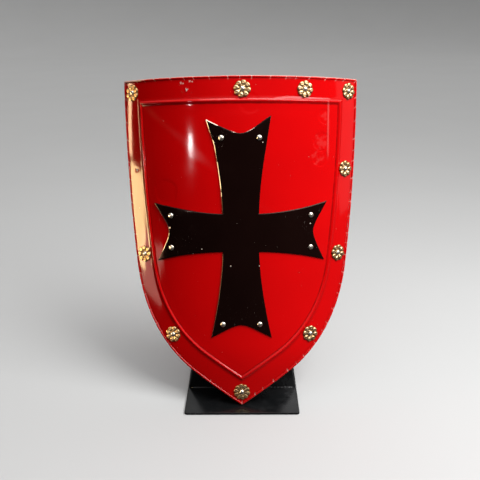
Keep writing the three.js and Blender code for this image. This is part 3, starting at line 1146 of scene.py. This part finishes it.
@dataclass
class Cross:
    """The black cross: a dished plate with flared arms and notched ends.

    Attributes:
        bend: the sheet's coordinates.
        middle_up: how high up the sheet its middle is.
        reach_up: from its middle to the upper arm's tips.
        reach_down: from its middle to the lower arm's tips.
        reach_level: from its middle to the side arms' tips.
        waist_upright: half the upright arms' width at their roots.
        waist_level: half the side arms' width at their roots.
        tip_upright: half the upright arms' width at their tips.
        tip_level: half the side arms' width at their tips.
        notch: how deep the notch in each end is.
        flare: how late along an arm its sides swing out.
        notch_round: how round the bottom of a notch is.
        face_lift: how far its face stands over the sheet.
        under_lift: how far its underside does.
        side_steps: steps along half an arm's side.
        end_steps: steps along half an arm's end.
        wander: the tips that were cut off their true places: each one's true place
            across and up, and how far right and up it was cut, in millimetres.
    """

    bend: Bend
    middle_up: float = 383 * MM
    reach_up: float = 240 * MM
    reach_down: float = 231 * MM
    reach_level: float = 191 * MM
    waist_upright: float = 39 * MM
    waist_level: float = 41 * MM
    tip_upright: float = 66 * MM
    tip_level: float = 63 * MM
    notch: float = 30 * MM
    flare: float = 1.6
    notch_round: float = 0.25
    face_lift: float = 3.1 * MM
    under_lift: float = 0.5 * MM
    side_steps: int = 18
    end_steps: int = 10
    wander: tuple[tuple[float, float, float, float], ...] = (
        (-66, 240, -6.0, -0.6),
        (66, 240, -0.6, 6.5),
        (-191, 63, -6.3, -0.6),
        (-191, -63, 0.0, -2.5),
        (191, 63, 4.0, 1.4),
        (191, -63, -1.6, -1.4),
    )

    def half_arm(self, reach: float, waist: float, tip: float, start: float) -> list[Vector]:
        """Half of one arm's outline, from its waist to the bottom of its notch.

        Args:
            reach: how far the arm's tips stand from the middle.
            waist: half the arm's width at its root.
            tip: half its width at its tips.
            start: how far from the middle the arm begins.

        Returns:
            The points as (out along the arm, across it).
        """
        points = []
        for index in range(self.side_steps):
            share = index / self.side_steps
            out = start + (reach - start) * share
            points.append(Vector((out, waist + (tip - waist) * share**self.flare)))
        full = math.hypot(1.0, self.notch_round)
        for index in range(self.end_steps + 1):
            share = 1.0 - index / self.end_steps
            fall = (full - math.hypot(share, self.notch_round)) / (full - self.notch_round)
            points.append(Vector((reach - self.notch * fall, tip * share)))
        return points

    def outline(self) -> list[Vector]:
        """Join the four arms into the whole outline.

        Returns:
            The points clockwise, as (across, up).
        """
        upright = (self.waist_upright, self.tip_upright, self.waist_level)
        level = (self.waist_level, self.tip_level, self.waist_upright)
        arms = (
            (self.reach_up, upright),
            (self.reach_level, level),
            (self.reach_down, upright),
            (self.reach_level, level),
        )
        middle = Vector((0.0, self.middle_up))
        points = []
        for quarter, (reach, (waist, tip, start)) in enumerate(arms):
            half = self.half_arm(reach, waist, tip, start)
            arm = [Vector((-across, out)) for out, across in half]
            arm += [Vector((across, out)) for out, across in half[-2:0:-1]]
            turn = Matrix.Rotation(-quarter * math.pi / 2, 2)
            points += [middle + self.hand_cut(turn @ spot) for spot in arm]
        return points

    def hand_cut(self, spot: Vector) -> Vector:
        """Move a point of the outline as the hand-cut tips wander.

        Args:
            spot: the true point, from the cross's middle.

        Returns:
            The point as it was cut.
        """
        shift = Vector((0.0, 0.0))
        for across, up, right, rise in self.wander:
            reach = (spot - Vector((across, up)) * MM).length
            shift += Vector((right, rise)) * MM * smoothstep(-reach, -62 * MM, 0.0)
        return spot + shift

    def rubbed_and_highlit(self, across: float, up: float) -> float:
        """Find how far the cross's edge is worn through to metal, with the left-facing edges and the
        notches widened as a painted highlight.

        Args:
            across: the point's place round the curve.
            up: its place along the sheet.

        Returns:
            How worn the edge is.
        """
        out = up - self.middle_up
        # The left side, the notches and the lower left are worn wider, as a painted highlight from the
        # light on the left.
        left_side = smoothstep(-across, 20 * MM, 34 * MM) * smoothstep(out, 55 * MM, 85 * MM)
        left_notch = smoothstep(-across, 150 * MM, 160 * MM) * smoothstep(55 * MM - abs(out), 0.0, 15 * MM)
        top_notch = 0.8 * smoothstep(out, 195 * MM, 208 * MM)
        low_left = 0.62 * smoothstep(-across, 30 * MM, 44 * MM) * smoothstep(-out, 120 * MM, 150 * MM)
        left_notch *= 0.97 + 0.15 * smoothstep(-out, -10 * MM, 15 * MM)
        return max(0.5, left_side, left_notch, top_notch, low_left)

    def scuffed(self, across: float, up: float) -> float:
        """Find how scratched the cross is round its rivets.

        Args:
            across: the point's place round the curve.
            up: its place along the sheet.

        Returns:
            How scratched it is, from 0 to 1.
        """
        right = math.hypot(across - 150 * MM, up - 417 * MM) / (24 * MM)
        left = math.hypot(across + 125 * MM, up - 362 * MM) / (26 * MM)
        top = math.hypot(across + 46 * MM, up - 588 * MM) / (16 * MM)
        low = math.hypot(across, up - 190 * MM) / (50 * MM)
        return max(*(math.exp(-(reach**2)) for reach in (right, left, top)), 0.5 * math.exp(-(low**2)))

    def build(self, material: Material) -> Piece:
        """Make the cross.

        Args:
            material: its finish.

        Returns:
            The piece.
        """
        bm = bmesh.new()
        wear = wear_and_light_layer(bm)
        verts = [bm.verts.new((spot.x, spot.y, self.under_lift)) for spot in self.outline()]
        under = bm.faces.new(verts)
        raised = bmesh.ops.extrude_face_region(bm, geom=[under])["geom"]
        face = next(item for item in raised if isinstance(item, bmesh.types.BMFace))
        wall = 0.9 * MM
        bmesh.ops.translate(bm, verts=face.verts, vec=(0.0, 0.0, wall))
        for vert in face.verts:
            vert[wear] = (0.75, 0.0, 0.0, 1.0)
        lift = self.under_lift + wall
        # Each step of the turned edge: how far in, its share of the rise, how worn it is.
        turned = ((0.10, 0.30, 1.0), (0.16, 0.30, 1.0), (0.24, 0.28, 1.0), (0.32, 0.22, 0.97))
        turned += ((0.40, 0.16, 0.92), (0.44, 0.10, 0.84), (0.44, 0.05, 0.5), (0.44, 0.02, 0.0))
        scale = (self.face_lift - lift) / sum(rise for _, rise, _ in turned)
        for draw, rise, worn in turned:
            bmesh.ops.inset_region(bm, faces=[face], thickness=draw * MM, depth=0.0, use_even_offset=True)
            bmesh.ops.translate(bm, verts=face.verts, vec=(0.0, 0.0, rise * scale))
            for vert in face.verts:
                vert[wear] = (worn, 0.0, 0.0, 1.0)
        self.slice(bm)
        for vert in bm.verts:
            across, up, height = vert.co
            dish = 0.25 * MM * noise.noise(Vector((across * 17.0, up * 13.0, 21.0)))
            marks = vert[wear]
            vert[wear] = (marks[0] * self.rubbed_and_highlit(across, up), self.scuffed(across, up), 0.0, 1.0)
            vert.co = self.bend.place(across, up, height + dish * smoothstep(height, 0.0, self.face_lift))
        return finish_piece(bm, "black_cross", material, ("cross",), 60.0)

    def slice(self, bm: Shape) -> None:
        """Cut the flat plate into strips, so that it can be bent.

        Args:
            bm: the flat plate.
        """
        pitch = 5 * MM
        half = int(self.reach_level / pitch)
        for index in range(-half, half + 1):
            geom = bm.verts[:] + bm.edges[:] + bm.faces[:]
            spot = (index * pitch, 0.0, 0.0)
            bmesh.ops.bisect_plane(bm, geom=geom, plane_co=spot, plane_no=(1.0, 0.0, 0.0))
        pitch = 12 * MM
        count = int((self.reach_up + self.reach_down) / pitch)
        for index in range(count):
            geom = bm.verts[:] + bm.edges[:] + bm.faces[:]
            spot = (0.0, self.middle_up - self.reach_down + (index + 0.4) * pitch, 0.0)
            bmesh.ops.bisect_plane(bm, geom=geom, plane_co=spot, plane_no=(0.0, 1.0, 0.0))


@dataclass
class Rivet:
    """A dome-headed rivet with a hammered tail."""

    bend: Bend
    head: float = 6.0 * MM
    rise: float = 3.7 * MM
    shank: float = 2.1 * MM
    tail: float = 3.6 * MM
    tail_rise: float = 1.5 * MM
    seat: float = -1.95 * MM
    turning: int = 40

    def profile(self, under_head: float) -> list[tuple[float, float]]:
        """Draw the turned profile.

        Args:
            under_head: how far the head's underside stands over the sheet.

        Returns:
            The points from the head's crown to the tail's, as (out, along).
        """
        dome = []
        for index in range(13):
            turn = 0.5 * math.pi * (1.0 - index / 12)
            dome.append((self.head * math.cos(turn), under_head + 0.25 * MM + self.rise * math.sin(turn)))
        edge = [(self.head * 0.985, under_head), (self.shank, under_head), (self.shank, self.seat)]
        end = []
        for index in range(7):
            turn = 0.5 * math.pi * index / 6
            end.append((self.tail * math.cos(turn) ** 0.7, self.seat - self.tail_rise * math.sin(turn)))
        return dome + edge + end

    def build(
        self,
        name: str,
        node: str,
        place: Vector,
        under_head: float,
        material: Material,
        rng: random.Random,
    ) -> Piece:
        """Make one rivet and set it square on the sheet.

        Args:
            name: the piece's name.
            node: the CAD node that it stands for.
            place: where it goes, as (across, up, lift).
            under_head: how far its head's underside stands over the sheet.
            material: its finish.
            rng: the order of the small differences between rivets.

        Returns:
            The piece.
        """
        bm = bmesh.new()
        wear = wear_and_light_layer(bm)
        verts = [bm.verts.new((out, 0.0, along)) for out, along in self.profile(under_head)]
        edges = [bm.edges.new(pair) for pair in zip(verts, verts[1:])]
        bmesh.ops.spin(
            bm,
            geom=verts + edges,
            cent=(0.0, 0.0, 0.0),
            axis=(0.0, 0.0, 1.0),
            angle=2.0 * math.pi,
            steps=self.turning,
            use_merge=True,
        )
        bmesh.ops.remove_doubles(bm, verts=bm.verts, dist=0.01 * MM)
        flat = rng.uniform(0.0, 2.0 * math.pi)
        for vert in bm.verts:
            x, y, z = vert.co
            # Painted shade at the head's foot, where it meets the plate. The hidden tail is dulled all
            # over.
            low = 1.0 - smoothstep(z, under_head, under_head + 1.2 * MM)
            vert[wear] = (low if z > 0.0 else 0.6, 0.0, 0.0, 1.0)
            if z > under_head + 0.3 * MM:
                beat = noise.noise(Vector((x * 260.0, y * 260.0, flat * 9.0)))
                vert.co.z += 0.05 * MM * beat
            elif z < self.seat - 0.1 * MM:
                beat = noise.noise(Vector((x * 420.0, y * 420.0, flat * 5.0)))
                vert.co.z -= 0.45 * MM * beat
        bmesh.ops.transform(bm, verts=bm.verts, matrix=self.bend.square_on(place.x, place.y))
        return finish_piece(bm, name, material, (node,), 55.0)


@dataclass(frozen=True)
class Petals:
    """How a rosette's petals are pressed.

    Attributes:
        count: how many there are.
        crown: how high they stand.
        dimple: how deep the hollow in each one is.
        notch: how far the outline falls back between them, as a share.
    """

    count: int = 8
    crown: float = 3.0 * MM
    dimple: float = 1.2 * MM
    notch: float = 0.10


@dataclass
class Rosette:
    """A pressed brass flower with a rivet through its eye.

    Attributes:
        bend: the sheet's coordinates.
        radius: its outer radius.
        base: the height of its flat parts over the seat.
        seat: how far over the sheet it sits.
        collar: the radius of the raised ring round its rivet.
        petal_middle: how far out a petal's middle is, as a share of the radius.
        petal_half: half a petal's length, as a share of the radius.
        rings: rings of points from the middle to the rim.
    """

    bend: Bend
    radius: float = 18 * MM
    base: float = 0.9 * MM
    seat: float = 0.4 * MM
    collar: float = 6.9 * MM
    petal_middle: float = 0.72
    petal_half: float = 0.31
    rings: int = 26

    def relief(self, petals: Petals, out: float, turn: float) -> tuple[float, float]:
        """The height of a point and its painted shade.

        Args:
            petals: how the petals are pressed.
            out: its distance from the middle.
            turn: its angle.

        Returns:
            The height over the seat, and its painted shade: off the petals' crowns and in their dimples.
        """
        pitch = 2.0 * math.pi / petals.count
        off = (turn + pitch / 2) % pitch - pitch / 2
        middle = self.petal_middle * self.radius
        half_long = self.petal_half * self.radius
        half_wide = math.sin(pitch / 2) * middle * 1.04
        side = out * math.sin(off)
        along = out * math.cos(off) - middle
        dome = max(0.0, 1.0 - (along / half_long) ** 2 - (side / half_wide) ** 2)
        inwards = (along - 0.03 * self.radius) / (0.30 * half_long)
        hollow = math.exp(-(inwards**2) - (side / (0.36 * half_wide)) ** 2)
        rim = math.exp(-(((out - self.collar) / (0.9 * MM)) ** 2))
        height = self.base + petals.crown * dome**0.55 - petals.dimple * hollow + 1.1 * MM * rim
        # Painted shade off the petals' crowns and in their dimples, which the brass colours with tarnish.
        painted_shade = max(1.0 - smoothstep(dome, 0.02, 0.4), 0.65 * hollow) * (1.0 - rim)
        return height, painted_shade

    def build(
        self, name: str, node: str, place: Vector, petals: Petals, spin: float, material: Material
    ) -> Piece:
        """Make one rosette and set it square on the sheet.

        Args:
            name: the piece's name.
            node: the CAD node that it stands for.
            place: where it goes, as (across, up, lift).
            petals: how its petals are pressed.
            spin: how far it is turned about its rivet.
            material: its finish.

        Returns:
            The piece.
        """
        columns = petals.count * 12
        rows = self.rings + 2
        bm = bmesh.new()
        wear = wear_and_light_layer(bm)
        bmesh.ops.create_grid(bm, x_segments=columns, y_segments=rows, size=0.5)
        for vert in bm.verts:
            turn = 2.0 * math.pi * (round((vert.co.x + 0.5) * columns) % columns) / columns
            row = round((vert.co.y + 0.5) * rows)
            share = min(row, self.rings) / self.rings
            lobe = abs(math.cos(0.5 * petals.count * turn)) ** 0.55
            out = self.radius * share * (1.0 - petals.notch * (1.0 - lobe) * share**2)
            height, painted_shade = self.relief(petals, out, turn)
            if share > 0.97:
                height = self.base * 0.75
            if row > self.rings:
                height = 0.0
            if row == rows:
                out = 0.0
            vert.co = (out * math.cos(turn), out * math.sin(turn), self.seat + height)
            vert[wear] = (painted_shade, 0.0, 0.0, 1.0)
        matrix = self.bend.square_on(place.x, place.y) @ Matrix.Rotation(spin, 4, "Z")
        bmesh.ops.transform(bm, verts=bm.verts, matrix=matrix)
        return finish_piece(bm, name, material, (node,), 62.0)


@dataclass
class Stand:
    """The black stand: a flat foot and a tapered upright welded to it.

    Attributes:
        top_width: the upright's width at its top.
        foot_corner: the radius of the foot's corners.
        upright_corner: the radius of the upright's top corners.
        softened: the radius of every rim.
        weld_reach: how far a weld run stands out.
        weld_ripple: how far its ripples are apart, over pi.
        weld_short: how far it stops short of the upright's sides.
    """

    top_width: float = 130 * MM
    foot_corner: float = 6 * MM
    upright_corner: float = 5 * MM
    softened: float = 0.7 * MM
    weld_reach: float = 3.2 * MM
    weld_ripple: float = 2.6 * MM
    weld_short: float = 6 * MM

    def bevel(self, bm: Shape, edges: list[bmesh.types.BMEdge], offset: float, segments: int) -> None:
        """Round some edges.

        Args:
            bm: the plate.
            edges: which of its edges.
            offset: how far back the rounding reaches.
            segments: how many facets it has.
        """
        bmesh.ops.bevel(
            bm,
            geom=edges,
            offset=offset,
            offset_type="OFFSET",
            affect="EDGES",
            segments=segments,
            profile=0.5,
            material=-1,
        )

    def plate(self, low: Vector, high: Vector) -> Shape:
        """Make a plain plate.

        Args:
            low: its lowest corner.
            high: its highest corner.

        Returns:
            The plate.
        """
        bm = bmesh.new()
        bmesh.ops.create_cube(bm, size=1.0)
        bmesh.ops.scale(bm, verts=bm.verts, vec=high - low)
        bmesh.ops.translate(bm, verts=bm.verts, vec=(high + low) / 2)
        return bm

    def soften(self, bm: Shape) -> None:
        """Take the sharpness off a plate's rims."""
        sharp = [edge for edge in bm.edges if edge.calc_face_angle(0.0) > math.radians(60)]
        self.bevel(bm, sharp, self.softened, 3)

    def foot(self, material: Material) -> Piece:
        """Make the foot.

        Args:
            material: its finish.

        Returns:
            The piece.
        """
        bm = self.plate(*map(Vector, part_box("stand_foot")))
        corners = [e for e in bm.edges if abs(e.verts[0].co.z - e.verts[1].co.z) > MM]
        self.bevel(bm, corners, self.foot_corner, 8)
        self.soften(bm)
        return finish_piece(bm, "foot_plate", material, ("stand_foot",), 30.0)

    def upright(self, material: Material) -> Piece:
        """Make the upright.

        Args:
            material: its finish.

        Returns:
            The piece.
        """
        low, high = map(Vector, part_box("stand_upright"))
        bm = self.plate(low, high)
        top = [vert for vert in bm.verts if vert.co.z > (low.z + high.z) / 2]
        for vert in top:
            vert.co.x = math.copysign(self.top_width / 2, vert.co.x)
        corners = [e for e in bm.edges if all(v in top for v in e.verts)]
        corners = [e for e in corners if abs(e.verts[0].co.x - e.verts[1].co.x) < MM]
        self.bevel(bm, corners, self.upright_corner, 6)
        self.soften(bm)
        return finish_piece(bm, "upright_plate", material, ("stand_upright",), 30.0)

    def weld(self, name: str, front: bool, material: Material) -> Piece:
        """Make one of the weld runs along the upright's bottom.

        Args:
            name: the piece's name.
            front: whether it is on the shield's side of the upright.
            material: its finish.

        Returns:
            The piece.
        """
        low, high = map(Vector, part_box("stand_upright"))
        way = -1.0 if front else 1.0
        wall = low.y if front else high.y
        half = (high.x - low.x) / 2 - self.weld_short
        columns, rows = 150, 8
        bm = bmesh.new()
        bmesh.ops.create_grid(bm, x_segments=columns, y_segments=rows, size=0.5)
        for vert in bm.verts:
            along = 2.0 * vert.co.x
            turn = 0.5 * math.pi * (vert.co.y + 0.5)
            ends = math.sqrt(max(0.0, 1.0 - abs(along) ** 24))
            ripple = 0.16 * abs(math.sin(along * half / self.weld_ripple))
            reach = self.weld_reach * ends * (1.0 - ripple)
            belly = 0.82 + 0.18 * abs(math.cos(2.0 * turn))
            y = wall + way * reach * belly * math.cos(turn)
            vert.co = (along * half, y, low.z + reach * belly * math.sin(turn))
        rim = [edge for edge in bm.edges if edge.is_boundary]
        inner = bmesh.ops.extrude_edge_only(bm, edges=rim)["geom"]
        for vert in (item for item in inner if isinstance(item, bmesh.types.BMVert)):
            vert.co.y, vert.co.z = wall, low.z
        return finish_piece(bm, name, material, (), 40.0)


# ---- the studio ----


@dataclass(frozen=True)
class Softbox:
    """One light panel, aimed at the shield.

    Attributes:
        turn: its bearing in degrees, from straight in front, positive to the right.
        height: how high it looks from, in degrees.
        distance: how far off it is.
        size: its width and height.
        power: in watts.
        colour: its tint.
        gloss_only: whether it only shows in gloss, and lights nothing.
    """

    turn: float
    height: float
    distance: float
    size: tuple[float, float]
    power: float
    colour: tuple[float, float, float] = (1.0, 1.0, 1.0)
    gloss_only: bool = False

    def hang(self, name: str, target: Vector) -> None:
        """Hang the panel.

        Args:
            name: the light's name.
            target: what it is aimed at.
        """
        data = bpy.data.lights.new(name, "AREA")
        data.shape = "RECTANGLE"
        data.size, data.size_y = self.size
        data.energy = self.power
        data.color = self.colour
        turn, height = math.radians(self.turn), math.radians(self.height)
        flat = self.distance * math.cos(height)
        away = Vector((flat * math.sin(turn), -flat * math.cos(turn), self.distance * math.sin(height)))
        light = bpy.data.objects.new(name, data)
        light.location = target + away
        light.rotation_euler = away.to_track_quat("Z", "Y").to_euler()
        light.visible_diffuse = not self.gloss_only
        bpy.context.scene.collection.objects.link(light)


@dataclass
class Studio:
    """The pale floor, the lights and the camera.

    Attributes:
        bend: the sheet's coordinates.
        eye: where the camera is, from the shield's point.
        pitch: how far down it looks, in degrees.
        yaw: how far it turns to the left, in degrees.
        roll: how far it tips over, in degrees.
        lens: its focal length in millimetres.
        aim_up: how high up the sheet the lights are aimed.
        floor_flat: how far out the floor is flat.
        floor_sweep: how long its sweep upwards is.
        floor_walk: its whole length, over the sweep to its top.
        floor_tones: its two greys.
        dome_rise: between which heights the dome brightens.
        dome_strength: how bright it is below them and above them.
        dome_lean: how much brighter it is to the right.
    """

    bend: Bend
    eye: tuple[float, float, float] = (12.5 * MM, -1213.7 * MM, 822.5 * MM)
    pitch: float = 19.72
    yaw: float = 0.64
    roll: float = -0.54
    lens: float = 48.22
    aim_up: float = 370 * MM
    floor_flat: float = 12.0
    floor_sweep: float = 6.0
    floor_walk: float = 26.0
    floor_tones: tuple[Colour, Colour] = ((0.56, 0.56, 0.556, 1.0), (0.59, 0.59, 0.586, 1.0))
    dome_rise: tuple[float, float] = (0.22, 0.85)
    dome_strength: tuple[float, float] = (0.07, 1.0)
    dome_lean: float = 0.9

    def softboxes(self) -> dict[str, Softbox]:
        """List the light panels.

        Returns:
            The panels, by name.
        """
        return {
            "key": Softbox(60, 48, 2.1, (1.4, 1.4), 49),
            "crown": Softbox(8, 86, 2.0, (1.5, 0.6), 15, gloss_only=True),
            "warm_low": Softbox(-86.1, -2.7, 1.72, (0.43, 0.42), 15, (1.0, 0.74, 0.34), True),
            "warm_high": Softbox(-93.6, 10.7, 1.78, (0.10, 0.36), 3.2, (1.0, 0.62, 0.34), True),
            "warm_faint": Softbox(-73, -8, 1.6, (0.5, 0.26), 2.0, (1.0, 0.62, 0.50), True),
            "cool_side": Softbox(88, 12, 1.8, (0.5, 0.9), 0.8, (1.0, 0.93, 0.9), True),
            "spark": Softbox(-40.2, 14.9, 2.3, (0.10, 0.085), 3.0, gloss_only=True),
            "halo": Softbox(-40.2, 14.9, 2.35, (0.17, 0.14), 0.35, gloss_only=True),
        }

    def floor(self) -> None:
        """Lay the floor, which sweeps up into a backdrop all round the object."""
        bm = bmesh.new()
        bmesh.ops.create_grid(bm, x_segments=96, y_segments=60, size=0.5)
        radius = self.floor_sweep / (math.pi / 2)
        for vert in bm.verts:
            walked = self.floor_walk * (vert.co.y + 0.5)
            bearing = 2.0 * math.pi * (vert.co.x + 0.5)
            share = min(1.0, max(0.0, (walked - self.floor_flat) / self.floor_sweep))
            turn = share * math.pi / 2
            reach = min(walked, self.floor_flat) + radius * math.sin(turn)
            climbed = max(0.0, walked - self.floor_flat - self.floor_sweep)
            height = radius * (1.0 - math.cos(turn)) + climbed
            vert.co = (reach * math.cos(bearing), reach * math.sin(bearing), height)
        bmesh.ops.remove_doubles(bm, verts=bm.verts, dist=MM)
        mesh = bpy.data.meshes.new("floor")
        bm.to_mesh(mesh)
        bm.free()
        graph = Graph("pale floor")
        graph.give("Base Color", graph.mix(graph.noise(1.5, 2.0), *self.floor_tones))
        graph.give("Roughness", 0.75)
        graph.give("Specular IOR Level", 0.0)
        mesh.materials.append(graph.material)
        mesh.shade_smooth()
        floor = bpy.data.objects.new("floor", mesh)
        floor.visible_glossy = False
        floor.visible_diffuse = False
        bpy.context.scene.collection.objects.link(floor)

    def world(self) -> None:
        """Set a dome that is bright overhead, dim near the horizon and brighter to the right."""
        world = bpy.data.worlds.new("studio")
        world.use_nodes = True
        tree = world.node_tree
        place = tree.nodes.new("ShaderNodeTexCoord").outputs["Generated"]
        parts = tree.nodes.new("ShaderNodeSeparateXYZ")
        tree.links.new(place, parts.inputs["Vector"])
        rise = tree.nodes.new("ShaderNodeMapRange")
        rise.interpolation_type = "SMOOTHSTEP"
        tree.links.new(parts.outputs["Z"], rise.inputs["Value"])
        limits = zip(("From Min", "From Max", "To Min", "To Max"), self.dome_rise + self.dome_strength)
        for name, value in limits:
            rise.inputs[name].default_value = value
        lean = tree.nodes.new("ShaderNodeMath")
        lean.operation = "MULTIPLY_ADD"
        tree.links.new(parts.outputs["X"], lean.inputs[0])
        lean.inputs[1].default_value = self.dome_lean
        lean.inputs[2].default_value = 1.0
        strength = tree.nodes.new("ShaderNodeMath")
        strength.operation = "MULTIPLY"
        tree.links.new(rise.outputs["Result"], strength.inputs[0])
        tree.links.new(lean.outputs[0], strength.inputs[1])
        tree.links.new(strength.outputs[0], tree.nodes["Background"].inputs["Strength"])
        tree.nodes["Background"].inputs["Color"].default_value = (1.0, 1.0, 1.0, 1.0)
        bpy.context.scene.world = world

    def camera(self) -> None:
        """Set up the camera."""
        data = bpy.data.cameras.new("camera")
        data.lens = self.lens
        data.clip_end = 200.0
        camera = bpy.data.objects.new("camera", data)
        place = Matrix.Translation(self.bend.point + Vector(self.eye))
        for turn, axis in ((self.yaw, "Z"), (90.0 - self.pitch, "X"), (self.roll, "Z")):
            place = place @ Matrix.Rotation(math.radians(turn), 4, axis)
        camera.matrix_world = place
        bpy.context.scene.collection.objects.link(camera)
        bpy.context.scene.camera = camera

    def build(self) -> None:
        """Set up everything that isn't part of the object."""
        self.floor()
        self.world()
        self.camera()
        target = self.bend.place(0.0, self.aim_up, 0.0)
        for name, softbox in self.softboxes().items():
            softbox.hang(name, target)
        bpy.context.scene.view_settings.view_transform = "Standard"


# ---- assembly ----


def centre_of(node: str) -> Vector:
    """The middle of a CAD node's box."""
    low, high = map(Vector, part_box(node))
    return (low + high) / 2


def shield_bend() -> Bend:
    """Find the sheet's coordinates from where the foot is and how the point rests on it.

    Returns:
        The coordinates.
    """
    low, high = map(Vector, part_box("stand_foot"))
    clearance = 0.35 * MM
    set_back = 28 * MM
    height = high.z + ShieldSheet.roll_radius * math.sin(Bend.lean) + clearance
    return Bend(Vector((0.0, low.y + set_back, height)))


def set_rivets(bend: Bend, steel: Material, rng: random.Random) -> None:
    """Set every rivet of the cross and of the rosettes.

    Args:
        bend: the sheet's coordinates.
        steel: the rivets' finish.
        rng: the order of the small differences between rivets.
    """
    under_cross = Cross.face_lift + 0.15 * MM
    under_eye = 1.6 * MM
    for node in sorted(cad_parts):
        if node.startswith("cross_rivet_"):
            place = bend.unroll(centre_of(node))
            Rivet(bend).build(f"{node}_head", node, place, under_cross, steel, rng)
        elif node.startswith("rosette_rivet_"):
            place = bend.unroll(centre_of(node.replace("_rivet", "")))
            rivet = Rivet(bend, head=5.5 * MM, rise=3.9 * MM)
            rivet.build(f"{node}_head", node, place, under_eye, steel, rng)


def set_rosettes(bend: Bend, rng: random.Random) -> None:
    """Set every rosette.

    Args:
        bend: the sheet's coordinates.
        rng: the order of the small differences between rosettes.
    """
    brass = Brass().material("brass")
    dull_brass = Brass(dullness=0.22).material("dull brass")
    for node in sorted(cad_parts):
        if not node.startswith("rosette_") or "_rivet_" in node:
            continue
        place = bend.unroll(centre_of(node))
        at_point = node == "rosette_point"
        petals = Petals(count=10, crown=1.7 * MM, dimple=0.9 * MM) if at_point else Petals()
        spin = rng.uniform(-0.3, 0.3) - 0.2
        metal = dull_brass if at_point else brass
        Rosette(bend).build(f"{node}_flower", node, place, petals, spin, metal)


def main() -> None:
    """Build every piece, in order."""
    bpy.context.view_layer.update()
    rng = random.Random(SEED)
    bend = shield_bend()
    Studio(bend).build()
    ShieldSheet(bend).build(RedEnamel().material(bend))
    Cross(bend).build(BlackEnamel().material(bend))
    set_rosettes(bend, rng)
    set_rivets(bend, RivetSteel().material(), rng)
    paint = StandPaint().material()
    stand = Stand()
    stand.foot(paint)
    stand.upright(paint)
    stand.weld("front_weld", True, paint)
    stand.weld("back_weld", False, paint)


if __name__ == "__main__":
    main()
